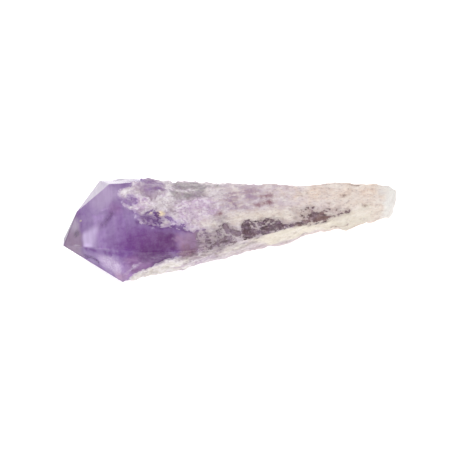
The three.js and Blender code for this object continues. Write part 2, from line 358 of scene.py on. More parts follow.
# %% Where the skin begins
# The line is written as pairs of the way round and x.
SKIN_START = [
    (0, -31), (0.06, -31.5), (0.09, -35), (0.17, -35.8), (0.25, -34), (0.32, -34.9), (0.37, -33.5),
    (0.43, -31), (0.5, -30.8), (0.57, -29.4), (0.61, -24.5), (0.63, -16), (0.66, -13.8), (0.73, -12),
    (0.8, -12.6), (0.88, -11), (0.97, -12.4), (1.06, -12), (1.14, -12.9), (1.23, -14.4), (1.3, -17.4),
    (1.34, -22.6), (1.55, -25.7), (1.66, -28.2), (1.76, -30.9), (1.87, -33.7), (2, -36.8), (2.4, -36),
    (3, -37), (3.5, -35), (4, -36), (4.3, -31), (4.6, -27), (4.85, -29), (5.1, -27), (5.5, -28),
    (5.85, -29.5), (5.95, -30.5), (6, -31),
]
begun = np.where(plain[:, 0] > np.interp(way, *np.array(SKIN_START).T), 1, -1)
from_start = begun * stroke(0, *[(x, place) for place, x in SKIN_START])
print("share of the points behind the line:", round((begun > 0).mean(), 2))

# %% [markdown]
# The windows are ovals and strokes. Those above the front ridge stop at it, where the skin held on, so
# they are cut off by one more distance, how far a point lies past the ridge. The windows on the back
# and below aren't in the photograph. They are guessed, and more ragged, so that they don't look drawn.

# %% Windows in the skin
FACE_WIDTH = 14
RIDGE_LIMIT = 0.985
HIDDEN_RAGGED = 2

past_ridge = FACE_WIDTH * (way - RIDGE_LIMIT)
above_ridge = np.min([
    stroke(2.4, (-2.6, 0.7), (-1.8, 0.79), (0.8, 0.87)),
    stroke(2.2, (-7.4, 0.97), (-4.5, 0.93), (-1.8, 0.94)),
    oval(4.8, 0.84, 2.6, 3.2),
    stroke(2, (3.4, 0.95), (8, 0.97)),
    stroke(3, (6, 0.91), (10, 0.92), (15, 0.92)),
    stroke(0.6, (15.1, 0.9), (15.7, 0.97)),
    stroke(0.5, (16.6, 0.97), (18.5, 0.96)),
    stroke(1.3, (19.2, 0.94), (22, 0.95), (25, 0.9)),
    oval(27.6, 0.86, 3.8, 2),
    oval(26.8, 0.78, 2, 0.8),
    stroke(1.2, (28, 0.93), (33.2, 0.97)),
], axis=0)
small_windows = np.min([
    oval(-18.6, 0.6, 3, 0.9),
    stroke(0.8, (-26.4, 0.5), (-24.4, 0.53)),
    oval(7.2, 1.14, 0.8, 0.4),
    stroke(0.6, (24.8, 1.1), (26.9, 1.15)),
    stroke(0.5, (28.9, 1.19), (30.3, 1.15)),
    stroke(0.5, (34.2, 0.79), (35.4, 0.8)),
    stroke(0.5, (34.6, 0.96), (36.3, 0.92)),
    stroke(0.4, (37, 0.9), (38, 0.94)),
], axis=0)
hidden_windows = HIDDEN_RAGGED * WANDER + np.min([
    oval(-4, 4.6, 5, 2.5),
    oval(14, 4.4, 3, 1.6),
    oval(-20, 2.5, 4, 2),
    oval(4, 2.4, 3, 1.5),
    oval(30, 5.4, 3, 1),
], axis=0)
windows = np.min([np.maximum(above_ridge, past_ridge), small_windows, hidden_windows], axis=0)
print("share of the points in windows:", round((windows < 0).mean(), 3))

# %% [markdown]
# In some places the skin is like lace, with as many holes as crumbs. There the distance to the skin's
# rim is held at 0, so that the fine noise of the material chooses between hole and crumb. In thin spots
# it is held a little higher, which leaves a few holes, and crumbs that are left in a window are strokes
# of skin.

# %% Lace, thin spots and crumbs
LACE_RIM = 0.6
THIN_SKIN = 0.25
CRUMB_SKIN = 0.5
RIM_RANGE = (-0.7, 0.9)
RIM_WANDER = 0.4

lace = np.min([
    oval(-25.4, 0.5, 3.4, 2.6),
    stroke(1, (-33.8, 0.26), (-32, 0.31)),
    stroke(1.2, (-33.3, 0.43), (-31.6, 0.47)),
    stroke(1.4, (-31.5, 0.45), (-27.5, 0.56)),
    stroke(1.2, (-21.2, 0.46), (-18.4, 0.54)),
    stroke(1.6, (-11.6, 0.7), (-11, 0.97)),
    oval(-9.4, 0.88, 1.6, 2.4),
    oval(11.5, 0.79, 4.4, 1.4),
    stroke(0.8, (15.5, 0.94), (20, 0.92)),
    stroke(0.6, (35, 0.88), (38.5, 0.92)),
], axis=0)
thin_spots = np.min([
    oval(-31.6, 0.26, 1.6, 1.6),
    oval(-5, 0.84, 7.4, 3.8),
    oval(27, 0.8, 7, 2.6),
], axis=0)
crumbs_left = np.min([
    stroke(0.3, (-6.4, 0.99), (-2, 0.9)),
    stroke(0.2, (5.2, 0.72), (6.2, 0.84), (8.2, 0.9)),
    stroke(0.2, (12.4, 0.86), (14, 0.93)),
], axis=0)
in_lace = smooth(LACE_RIM, -LACE_RIM, lace)
skin_inside = np.minimum(np.minimum(from_start, windows), np.maximum(lace, 0))
skin_inside = np.minimum(skin_inside, np.maximum(thin_spots, THIN_SKIN))
skin_inside = np.maximum(skin_inside, np.minimum(-crumbs_left, CRUMB_SKIN))
skin = smooth(*RIM_RANGE, skin_inside + RIM_WANDER * WANDER)
print("share of the points under skin:", round(float(skin.mean()), 2))

# %% [markdown]
# ## The relief
#
# The relief is a height in millimetres: the skin's thickness, lumps, ribs along the crystal and growth
# steps like flat terraces, less the pits, and on top of these the crumbs and fine grain. The skin is
# crumbly near the tip and streaked towards the root, so one soft step along x trades one for the other.

# %% Relief
SKIN_DEPTH = 0.45
LUMP = 0.35
RIB = 0.5
STEP = 0.55
PIT = 0.6
PLAIN_GRAIN = 0.02
CRUMB_GRAIN = 0.16
FINE_GRAIN = 0.06

lumps = noise(plain, 4.2) + 0.5 * noise(plain, 2.1)
ribs = noise(plain, [16, 3.6, 3.6])
pits = smooth(0.3, 0.6, noise(plain, [2.6, 2.2, 2.2], (40, 0, 0)))
growth = 1.5 + 1.5 * noise(plain, [13, 5, 5], (0, 0, 7))
terrace = (np.floor(growth) + smooth(0.75, 1, growth - np.floor(growth)) - 1.5) / 1.5
crumbly = smooth(6, -16, plain[:, 0] + 6 * noise(plain, 7))
coarse_grain = crumbs(plain, 1.6) + 0.5 * crumbs(plain, 0.9)
grain = (PLAIN_GRAIN + CRUMB_GRAIN * crumbly) * coarse_grain + FINE_GRAIN * noise(plain, 0.7)
streaks = 0.14 * noise(plain, [5, 1.3, 1.3]) + 0.08 * noise(plain, [2, 0.7, 0.7])
rough_skin = SKIN_DEPTH + LUMP * lumps + RIB * ribs + grain + (1 - 0.6 * crumbly) * streaks
rough_skin -= PIT * pits * (0.4 + 0.6 * crumbly)
relief = (skin * rough_skin + STEP * terrace)[:rows * around].reshape(rows, around)
print("relief from", round(relief.min(), 2), "to", round(relief.max(), 2), "mm")

# %% [markdown]
# The rings of the body are pushed out from their middles by the relief. It starts at the shoulder, so
# the pyramid keeps its flat faces, and it fades near the floor, so the face that the crystal lies on
# stays flat too.

# %% Rough rings
SKIN_RUN_IN = 4.5
FOOT_BARE_HEIGHT = 1.2
FOOT_BARE_END = 12
FOOT_FADE = 6

body = slice(TIP_ROWS, TIP_ROWS + BODY_ROWS)
middles = body_corners.mean(1)
out = flat_body - middles[:, None]
out[:, :, 0] = 0
out /= np.linalg.norm(out, axis=2, keepdims=True)
run_in = smooth(0, SKIN_RUN_IN, middles[:, 0] - shoulder[:, 0].mean())[:, None]
on_foot = smooth(FOOT_BARE_END + FOOT_FADE, FOOT_BARE_END, flat_body[:, :, 0])
bare_foot = 1 - on_foot * (1 - smooth(0, FOOT_BARE_HEIGHT, flat_body[:, :, 2]))
rough_body = flat_body + out * (relief[body] * run_in * bare_foot)[:, :, None]
rough_body[:, :, 2] = np.maximum(rough_body[:, :, 2], 0)
print("the body moved by up to", round(np.linalg.norm(rough_body - flat_body, axis=2).max(), 2), "mm")

# %% [markdown]
# The edges of the pyramid are pulled in by a twentieth of a millimetre, and the snapped end gets the
# uneven surface of a break.

# %% Tip and break
BREAK_ROUGHNESS = 0.7

inward = tip_corners.mean(1)[:, None] - flat_tip
inward[:, :, 0] = 0
inward /= np.maximum(np.linalg.norm(inward, axis=2, keepdims=True), 1e-9)
worn_tip = flat_tip + inward * (BEVEL_DEPTH * tip_share[:, :, 0] * on_edge)[:, :, None]

snapped = np.array(BREAK_MIDDLE) * (1 - break_share) + rough_body[-1] * break_share
hackle = noise(snapped.reshape(-1, 3) * [0, 1, 1], 2.3).reshape(snapped.shape[:2])
snapped[:, :, 0] += BREAK_ROUGHNESS * (1 - break_share[:, :, 0] ** 4) * hackle
print("the break reaches x =", round(snapped[:, :, 0].max(), 1), "mm")

# %% [markdown]
# ## What lies inside the clear part
#
# An amethyst's colour is strongest in zones that grew at one time, so the tip is a patchwork: a smoky
# end, a darker band that curves across the upper face, a deep violet heart behind the shoulder, and
# veils of tiny bubbles. Light and shade are painted in as well: a pale patch like a small window is a
# painted reflection of the faces inside, a dark band under the front ridge and a dark outline along the
# tip's edges and end face are painted shade, and the pale back face of the tip and a strip along the
# back are painted light that shines through from behind. Each is an area on the map with a colour. A
# few of them fill a piece of a face, so their rims are straight steps along x or round the crystal.

# %% Colours and places
def colour(text):
    """A colour written as six hex digits, turned from display values into linear ones."""
    values = np.array([int(text[n:n + 2], 16) for n in (0, 2, 4)]) / 255
    return (*np.where(values <= 0.04045, values / 12.92, ((values + 0.055) / 1.055) ** 2.4), 1)


x_along = plain[:, 0]
waver = noise(plain, 3)
# The bright patch is a painted reflection of the faces inside the tip, above the front ridge.
patch_sides = smooth(-49.1, -48.1, x_along) * smooth(-42.8, -45.8, x_along + 5 * (way - 0.85))
bright_patch = patch_sides * smooth(0.56, 0.72, way + 0.02 * (x_along + 46)) * smooth(1.01, 0.96, way)
on_back = (way >= 5) * smooth(6.02, 5.96, way)
on_tip_face = np.append(np.repeat([1.0, 0.0], [around, (rows - 1) * around]), [0, 1])
smoke_rim = 1.2 + 3.5 * smooth(0.7, 0.45, way) + 1.5 * smooth(1, 1.15, way)
print("share of the points in the bright patch:", round(bright_patch.mean(), 3))

# %% [markdown]
# Each zone has a name, a colour and a mask from 0 to 1. They are laid down in this order, so a later
# one covers the earlier ones.

# %% Zones of the clear part
CLEAR_ZONES = {
    "upper face": ("ab8cc4", area(1.4, 3, oval(-43, 0.4, 6, 5))),
    "pale top": ("c9b0da", area(1.4, 2.6, oval(-40, 0.1, 6, 4))),
    # Painted light: the pale back face of the tip and the strip along the back stand for light that
    # shines through from behind.
    "pale face": ("e6dcec", on_back * smooth(-38, -41, x_along)),
    "top strip": ("e2dae8", on_back * smooth(-40.5, -38.5, x_along) * smooth(-27, -32, x_along + waver)),
    "pinkish": ("9a68aa", area(0.6, 2, oval(-37.2, 0.39, 1.8, 2))),
    "band": ("561c6e", area(
        0.6, 1.8, stroke(2, (-38.2, 0.46), (-39.3, 0.52), (-40.7, 0.57), (-42.6, 0.6)),
    )),
    "veil": ("9c7bb6", area(
        0.8, 2.2, stroke(1.6, (-37.6, 0.52), (-39.8, 0.62), (-42, 0.75), (-43.4, 0.92)),
    )),
    "deep": ("622679", area(0.6, 3, oval(-28, 0.86, 11, 5.2), oval(-29, 1.22, 8, 4))),
    "heart": ("6a3a7a", area(0.8, 2.4, oval(-24.5, 0.86, 6.4, 4.2))),
    "low heart": ("541062", area(0.8, 2.2, oval(-26, 1.22, 6.4, 4.6))),
    "low blush": ("8c5a96", area(0.8, 1.8, oval(-32, 1.66, 4, 2.8), oval(-33.6, 1.36, 1.8, 1.4))),
    "core": ("581a64", area(1.8, 1.8, oval(-21.9, 0.85, 2.9, 3.6))),
    "top violet": ("9a7ab0", area(0.8, 1.2, oval(-26.8, 5.9, 7, 5))),
    "violet crumbs": ("4e0668", area(
        0.8, 1, oval(-25.4, 0.5, 4.4, 3),
        stroke(1.2, (-30.5, 0.56), (-24, 0.63), (-18.8, 0.6), (-14.5, 0.68)),
    )),
    "fading": ("a883a6", area(1.4, 1.8, oval(-14.4, 0.85, 4.2, 3.4))),
    "brown haze": ("84566c", area(1.2, 1.3, oval(-15.4, 1.16, 3, 2.6))),
    "faded": ("9c8593", area(1.2, 1.6, oval(-10.4, 0.86, 2.2, 4))),
    "low patch": ("c4aad4", area(1.6, 2.2, oval(-41, 1.5, 4.8, 2.6), oval(-39.2, 1.6, 2.2, 3.2))),
    # Painted shade: a dark band under the front ridge behind the tip, and dark lines below it.
    "under ridge": ("602a7e", area(
        0.5, 1.2, stroke(2.2, (-47.4, 1.08), (-45, 1.14), (-42, 1.16), (-38.5, 1.12), (-34.5, 1.08)),
        stroke(1.6, (-43, 1.2), (-39.6, 1.2)), stroke(0.5, (-39, 1.04), (-19, 1.04)),
    )),
    "low veil": ("b095ba", area(1, 0.5, stroke(0.3, (-37.1, 1.8), (-33.8, 1.64), (-31, 1.46)))),
    "crescent": ("602a7e", area(0.4, 0.6, stroke(1.1, (-48.2, 1.7), (-46, 1.6), (-44.2, 1.7)))),
    "corner": ("c094be", area(0.6, 1.4, oval(-38, 1.88, 2, 1.6))),
    # Painted reflection of the faces inside the tip.
    "bright patch": ("d2bce6", bright_patch),
    "smoke": ("b296b4", smooth(0, -1, (x_along + 48.2 + 0.4 * noise(plain, 2)) / smoke_rim)),
    "tip glow": ("cbb9d2", area(0.4, 1.6, oval(-50.8, 0.38, 1.6, 2.4))),
    "tip shade": ("84758a", area(0.5, 0.9, oval(-50.4, 0.62, 0.9, 1))),
    # Painted highlight: a glint on a chip of the front ridge near the tip.
    "chip glint": ("e8daec", area(0.3, 0.25, stroke(0.5, (-51.3, 0.97), (-49.8, 0.96)))),
    # Painted shade: a dark outline along the upper and lower edges of the tip.
    "rim": ("7a5288", area(
        0.2, 0.35, stroke(0.4, (-55.1, 1), (-49.5, 0)), stroke(0.5, (-55, 2), (-39, 2)),
    )),
    # Painted shade: the end face of the tip is dark, like the dark outline of the tip.
    "tip face": ("563c62", on_tip_face),
    "spark": ("efe3b4", area(0, 0.15, oval(-48.6, 0.3, 0.35, 0.3))),
    "dark window": ("5a3c42", smooth(-10.5, -7.5, x_along)),
    "hazy window": ("7a636c", smooth(-10.5, -7.5, x_along) * smooth(3, 1, x_along)),
    "far window": ("785a50", smooth(18, 23, x_along)),
}
print("zones of the clear part:", len(CLEAR_ZONES))

# %% [markdown]
# ## Tints of the skin
#
# The skin changes from white and lilac near the tip to mauve in the middle and cream at the root, which
# a colour ramp along the crystal gives. On top of that lie patches, such as a grey strip along the back
# and the clean cream of the lower front face.

# %% Zones of the skin
near_start = smooth(8, 1, from_start + 3 * WANDER) * np.where(way > 4.8, 1, smooth(0.8, 0.6, way))
on_low_face = smooth(1, 1.03, way) * smooth(2.02, 1.9, way + 0.04 * WANDER)
cream_start = smooth(3, 7, x_along - 6 * (way - 1.1) + 1.5 * WANDER)
cream_stretch = cream_start * smooth(49, 43, x_along + 1.5 * WANDER)
SKIN_ZONES = {
    "beige": ("e0d4c6", 0.85 * area(
        1.6, 2.2, stroke(4, (-12, 0.52), (-6, 0.6), (2, 0.6), (12, 0.66), (22, 0.7)),
    )),
    "thin": ("c2abcc", 0.7 * near_start),
    "lilac": ("c6acca", area(1.4, 1.6, oval(-11.5, 0.27, 6.6, 4.6), oval(-28.5, 0.28, 3.6, 2.6))),
    "violet crust": ("7c5692", area(
        1.2, 1.2, oval(-24.4, 0.03, 5, 2.6), oval(-25, 5.5, 5, 4), oval(-25.4, 0.5, 2.8, 2),
    )),
    "white crumbs": ("e0d7dc", area(
        1.6, 0.8, oval(-33, 0.15, 2.4, 1.5), oval(-29.6, 0.13, 2.4, 1.1), oval(-20.8, 0.24, 2.2, 1.8),
        oval(-22, 0.56, 2.2, 1.2), oval(-24, 0.33, 2, 0.8), oval(-16.5, 0.06, 3, 0.7),
    )),
    "mauve": ("9c8098", area(
        1, 2.6, oval(1, 0.3, 2.8, 3.6), oval(6.8, 0.22, 4.2, 2.6), oval(4, 0.4, 3, 1.2),
    )),
    "peach": ("e5d0c0", area(
        2.4, 2.6, oval(26.5, 0.2, 5, 2), oval(34, 0.3, 4, 1.6), oval(46.5, 0.3, 4, 2.4),
    )),
    "grey strip": ("8b8389", area(
        1, 0.7, stroke(5.8, (-15.5, 5.4), (-12, 5.42), (-9, 5.55)), stroke(1.5, (-8, 5.6), (-3.5, 5.95)),
        stroke(3.4, (-17.2, 0.04), (-13.5, 0.02), (-9, 0)),
    )),
    "mauve brown": ("8c7080", area(1, 1.2, oval(-15.4, 1.3, 3.4, 3), oval(-11, 0.9, 2, 3.4))),
    "grey middle": ("a09498", area(
        1.2, 1.4, oval(-7, 0.86, 5.6, 3.4), oval(-3.4, 0.6, 2.4, 1.6),
        stroke(2.6, (-10.5, 1.3), (-7, 1.16), (-3, 1.15)),
    )),
    "grey low": ("a09292", area(1.4, 1.4, stroke(3, (-11, 1.4), (-6, 1.55), (1.5, 1.4), (6.5, 1.36)))),
    "cream": ("e3dac9", np.maximum(on_low_face * cream_stretch, area(0.8, 0.9, stroke(
        1.2, (20, 1.02), (33, 0.99), (45, 0.9),
    )))),
    "low white": ("e2dbd2", area(
        1, 1.2, stroke(5, (-34, 2.1), (-24, 1.8), (-18, 1.75)),
        stroke(0.8, (-5, 1.62), (-1.6, 1.6), (1.4, 1.38)),
        stroke(0.6, (-3.2, 1.35), (-1, 1.25), (1.5, 1.18)),
    )),
    "root": ("e8e5e0", smooth(48, 53, x_along + 2.5 * waver + 0.8 * WANDER)),
}
print("zones of the skin:", len(SKIN_ZONES))

# %% [markdown]
# The smallest marks come last, over the stone's grain: iron stains, a crack, creases, and a few yellow
# crumbs. They have almost crisp rims.

# %% Small marks
SMALL_MARKS = {
    "low line": ("bfa9bb", area(
        0.5, 0.5, stroke(0.5, (-22, 1.87), (-16, 1.78), (-10, 1.82), (-4.7, 1.65)),
    )),
    "low crease": ("a9999c", area(0.3, 0.3, stroke(
        0.2, (-5.9, 1.66), (-1.6, 1.78), (4, 1.86), (7.5, 1.95), (17.5, 2.03), (24, 1.97),
    ))),
    "stain": ("865a66", area(
        0.9, 0.8, stroke(0.7, (10.2, 0.27), (14, 0.24)), stroke(1.2, (9.4, 0.44), (12.9, 0.37)),
        stroke(0.3, (6.6, 0.4), (9, 0.43)), stroke(0.25, (-4.8, 0.47), (-2.6, 0.47)),
    )),
    "crack": ("8b6a66", area(0.2, 0.35, stroke(0.6, (32.2, 1.78), (34.8, 1.74), (37.6, 1.62)))),
    "dot": ("8e746c", area(
        0.5, 0.3, oval(37.4, 0.44, 1, 0.45), oval(32.3, 0.58, 1.1, 0.2), oval(43.9, 0.82, 0.6, 0.3),
        oval(23.6, 0.23, 0.7, 0.25), stroke(0.3, (40, 0.03), (43, 0.04)),
    )),
    "yellow": ("fde9c4", area(0.5, 0.3, oval(-22.9, 0.41, 1.5, 0.9), oval(-25.9, 0.42, 0.7, 0.4))),
}
print("small marks:", len(SMALL_MARKS))

# %% [markdown]
# ## Making the mesh
#
# The rows are stacked into one list of points, and the faces join each row to the next. A fan of
# triangles closes each end. The points are held inside the solid's box, so that the dressed crystal is
# never larger than the model that it covers.

# %% Points and faces
grid = np.concatenate([worn_tip, rough_body, snapped])
points = np.concatenate([grid.reshape(-1, 3), end_middles])
lowest, highest = (np.array(corner) / MM + BOX_MIDDLE for corner in solid_box)
points = np.clip(points, lowest, highest)
row_index, column_index = np.meshgrid(np.arange(rows - 1), np.arange(around), indexing="ij")
here = (row_index * around + column_index).ravel()
beside = (row_index * around + (column_index + 1) % around).ravel()
quads = np.stack([here, beside, beside + around, here + around], 1)
first = np.arange(around)
last = (rows - 1) * around + first
fan = np.stack([last, np.roll(last, -1), np.full(around, rows * around)], 1)
tip_fan = np.stack([np.roll(first, -1), first, np.full(around, rows * around + 1)], 1)
faces = quads.tolist() + fan.tolist() + tip_fan.tolist()
print("points:", len(points), "faces:", len(faces))

# %% [markdown]
# The material needs to know where it is on the stone, so each point carries numbers for it: the masks
# of all zones, how far inside the skin it lies, where the rim of the skin is milky, how crumbly it is,
# where it is hollow, for painted shade, and the worn ridges of the pyramid, for a painted highlight.

# %% Numbers for the material
SKIN_MARK_RANGE = 2.4
RIDGE_STRIP = (0.35, 0.05)

next_corners = np.roll(body_corners, -1, axis=1)
side_width = np.linalg.norm(next_corners - body_corners, axis=2).mean(0)[column_side]
from_edge = np.minimum(column_share[:, 0], 1 - column_share[:, 0]) * side_width
near_ridge = np.append(np.tile(smooth(*RIDGE_STRIP, from_edge), rows), [0, 0])
# The hollows are where the grain and lumps are low and where pits are; the material darkens them with
# painted shade.
low_grain = smooth(0.02, -0.3, grain + 0.2 * lumps)
hollow = crumbly * (0.6 * low_grain + 0.6 * pits) + 0.3 * smooth(-0.2, -0.9, lumps)
marks = {
    "skin": np.clip(0.5 + skin_inside / SKIN_MARK_RANGE + 0.2 * WANDER * (1 - in_lace), 0, 1),
    "ridge": near_ridge * smooth(-38, -42, x_along),
    "milky": area(1, 1.6, oval(-34, 0.3, 3.4, 4), oval(-30.4, 0.5, 4, 1.6), oval(-31, 5.9, 5, 3)),
    "crumbly": crumbly,
    "hollow": np.clip(hollow * smooth(1.5, 1.2, way), 0, 1),
}
marks |= {name: mask for name, (_, mask) in (CLEAR_ZONES | SKIN_ZONES | SMALL_MARKS).items()}
print("numbers at each point:", len(marks))

# %% [markdown]
# At the tip many columns meet in one place, so points closer than two thousandths of a millimetre are
# merged. Faces that meet at less than 30 degrees are shaded as one, and the ridges stay sharp.

# %% Mesh
MERGE_DISTANCE = 0.002 * MM
SHARP_ANGLE = math.radians(30)

mesh = bpy.data.meshes.new("amethyst")
mesh.from_pydata(((points - BOX_MIDDLE) * MM).tolist(), [], faces)
for name, values in marks.items():
    mesh.attributes.new(name, "FLOAT", "POINT").data.foreach_set("value", values.astype(np.float32))
work = bmesh.new()
work.from_mesh(mesh)
bmesh.ops.remove_doubles(work, verts=work.verts, dist=MERGE_DISTANCE)
open_edges = sum(not edge.is_manifold for edge in work.edges)
triangles = sum(len(face.verts) - 2 for face in work.faces)
work.to_mesh(mesh)
work.free()
mesh.shade_smooth()
mesh.set_sharp_from_angle(angle=SHARP_ANGLE)
crystal = bpy.data.objects.new("amethyst", mesh)
bpy.context.collection.objects.link(crystal)
print("triangles:", triangles, "open edges:", open_edges)

# %% [markdown]
# ## Writing materials as sums
#
# A material is a sum of masks and colours, so it reads best as one. A socket of a node is wrapped in a
# small class, and its operators add Math nodes. Every other node comes from one method.

# %% Shader maths
class Socket:
    """An output of a node that can be used in a sum: each operator adds a Math node."""

    def __init__(self, tree, output):
        self.tree = tree
        self.output = output

    def math(self, operation, first, second=0.0):
        """A Math node on two sockets or numbers."""
        return self.tree.add("ShaderNodeMath", {"operation": operation}, {0: first, 1: second})

    def __add__(self, other):
        return self.math("ADD", self, other)

    def __sub__(self, other):
        return self.math("SUBTRACT", self, other)

    def __rsub__(self, other):
        return self.math("SUBTRACT", other, self)

    def __mul__(self, other):
        return self.math("MULTIPLY", self, other)

    __radd__ = __add__
    __rmul__ = __mul__

    def step(self, low, high):
        """0 below low, 1 above high, soft between."""
        settings = {"interpolation_type": "SMOOTHSTEP"}
        return self.tree.add("ShaderNodeMapRange", settings, {0: self, 1: low, 2: high})


class Tree:
    """A material's node tree, with one method that adds any node."""

    def __init__(self, name):
        self.material = bpy.data.materials.new(name)
        self.material.use_nodes = True
        self.nodes = self.material.node_tree.nodes
        self.links = self.material.node_tree.links
        self.nodes.clear()

    def add(self, kind, settings=None, inputs=None, output=0):
        """Adds a node: its settings come first, then the values or links of its sockets."""
        node = self.nodes.new(kind)
        for key, value in (settings or {}).items():
            setattr(node, key, value)
        for key, value in (inputs or {}).items():
            if isinstance(value, Socket):
                self.links.new(value.output, node.inputs[key])
            else:
                node.inputs[key].default_value = value
        return Socket(self, node.outputs[output]) if node.outputs else node

    def place(self, stretch=(1, 1, 1), shift=0):
        """Object coordinates in millimetres, divided by a stretch along each axis."""
        coordinates = self.add("ShaderNodeTexCoord", output="Object")
        scale = tuple(1 / (MM * value) for value in stretch)
        return self.add("ShaderNodeMapping", None, {
            "Vector": coordinates, "Scale": scale, "Location": (shift, 0, 0),
        })

    def spots(self, size, detail=2.0, stretch=(1, 1, 1), shift=0, harsh=0.5):
        """Soft noise from 0 to 1, with spots about size millimetres across. The harsher it is, the more
        its finest spots stand out."""
        place = self.place(stretch, shift)
        inputs = {"Vector": place, "Scale": 1 / size, "Detail": detail, "Roughness": harsh}
        return self.add("ShaderNodeTexNoise", None, inputs)

    def lines(self, size, width, stretch=(1, 1, 1), shift=0):
        """Thin winding lines, 1 on them and 0 off: where noise is within width of its middle value."""
        gap = self.spots(size, 3, stretch, shift) - 0.5
        return 1 - (gap * gap).step(0, width * width)

    def grains(self, size, output, stretch=(1, 1, 1)):
        """Scattered grains about size millimetres across: the distance to the nearest one's middle, or
        a random colour of its own."""
        inputs = {"Vector": self.place(stretch), "Scale": 1 / size}
        return self.add("ShaderNodeTexVoronoi", None, inputs, output)

    def mark(self, name):
        """A number that the mesh carries at each point."""
        return self.add("ShaderNodeAttribute", {"attribute_name": name}, output="Fac")

    def blend(self, share, first, second):
        """One colour to the other as share goes from 0 to 1."""
        return self.add("ShaderNodeMix", {"data_type": "RGBA"}, {0: share, 6: first, 7: second}, 2)

    def ramp(self, value, stops):
        """A colour that changes with value, through stops of a place and a colour."""
        output = self.add("ShaderNodeValToRGB", None, {0: value}, "Color")
        elements = output.output.node.color_ramp.elements
        for element, (place, text) in zip([elements[0], elements[1]], stops):
            element.position = place
            element.color = colour(text)
        for place, text in stops[2:]:
            elements.new(place).color = colour(text)
        return output


print("helpers of a tree:", [name for name in vars(Tree) if not name.startswith("_")])

# %% [markdown]
# ## The amethyst
#
# Two finishes share the surface. One is glass: plain transmission with quartz's refraction of 1.544,
# and a plain purple absorption inside. The other is solid, for what clouds the stone: veils, colour
# zones and the skin. A mask sets their shares: about two fifths glass in the clear tip, less in its
# dark zones and in the windows of the body, and a tenth in the skin.
#
# The mask needs the skin's rim first. The mesh carries how far inside the skin a point lies, and noise
# finer than the mesh breaks the rim up into holes and crumbs. Near the tip the rim is milky and soft.

# %% Cover of the skin
def skin_cover(tree):
    """How far the skin covers the stone, and how far it is thick: soft steps of the distance inside it
    plus fine noise."""
    skin = tree.mark("skin")
    flecks = tree.spots(0.6, 5, (1.7, 1, 1), harsh=0.7) - 0.5
    chips = tree.grains(0.7, "Color", (1.5, 1, 1)) - 0.5
    covered = (skin + 0.6 * flecks + 0.35 * chips).step(0.45, 0.55)
    soft_rim = (skin + 0.5 * flecks).step(0.25, 0.9)
    covered = covered + tree.mark("milky") * (soft_rim - covered)
    thick = (skin + 0.5 * flecks).step(0.5, 0.95)
    return covered, thick


print("mean of the skin's mark:", round(marks["skin"].mean(), 2))

# %% [markdown]
# The colour of the clear part is laid down in layers: a purple that varies slowly, the zones one over
# another, the fine growth lines across the crystal, bubbles, motes and sparkle. The windows of the body
# also get murk, pale wisps and thin lines.

# %% Colour of the clear part
def clear_tint(tree, across_lines, in_window):
    """The zones, then the growth lines, bubbles, motes, sparkle, murk and wisps, each blended over the
    colour so far by its mask times a strength."""
    clear = tree.blend(tree.spots(7, 3).step(0.38, 0.62), colour("a182bd"), colour("8a61a6"))
    for name, (tint, _) in CLEAR_ZONES.items():
        clear = tree.blend(tree.mark(name), clear, colour(tint))
    clear = tree.blend(0.12 * across_lines, clear, colour("4c2a68"))
    low_patch = (tree.mark("low patch") + tree.mark("low veil")) * (1 - tree.mark("under ridge"))
    bubbles = tree.spots(0.5, 3, shift=3, harsh=0.65).step(0.48, 0.58) * (low_patch + 0.06)
    clear = tree.blend(0.4 * bubbles, clear, colour("f0e8f6"))
    motes = tree.spots(2, 4, shift=11).step(0.35, 0.65) * (1 - 0.6 * tree.mark("deep"))
    clear = tree.blend(0.14 * motes, clear, colour("d9c8ea"))
    sparkle = tree.grains(0.5, "Color") * tree.mark("violet crumbs")
    clear = tree.blend(0.4 * sparkle.step(0.55, 0.75), clear, colour("a98cc0"))
    murk = tree.spots(1.3, 4, (2, 1, 1), shift=15).step(0.52, 0.42) * in_window
    clear = tree.blend(0.6 * murk, clear, colour("3d2629"))
    wisps = tree.spots(0.8, 5, (2.6, 1, 1), shift=5, harsh=0.65).step(0.53, 0.62) * in_window
    clear = tree.blend(0.28 * wisps, clear, colour("b5a2a2"))
    pale_lines = tree.lines(1.6, 0.02, (1.6, 1, 1), 77) * in_window
    return tree.blend(0.3 * pale_lines, clear, colour("cfc0c0"))


print("zones laid over the purple:", ", ".join(CLEAR_ZONES))

# %% [markdown]
# The skin starts from a ramp of tints along the crystal, and its zones go over it. Then comes what the
# skin is made of: clouds, violet crumbs, and the bright and dark grains of a sugary crust, which the
# dull and the even parts have less of.

# %% Colour of the skin
BODY_TINTS = [
    (0.0, "d5ccd4"), (1.0, "e6ddd4"), (0.2, "d2c7cf"), (0.33, "cbbfc7"), (0.5, "c7b6c0"), (0.6, "cdbcc2"),
    (0.7, "d8c8c4"), (0.82, "dfcfc3"), (0.94, "e5d6c8"),
]
RAMP_LENGTH = 93
RAMP_AT_MIDDLE = 0.395


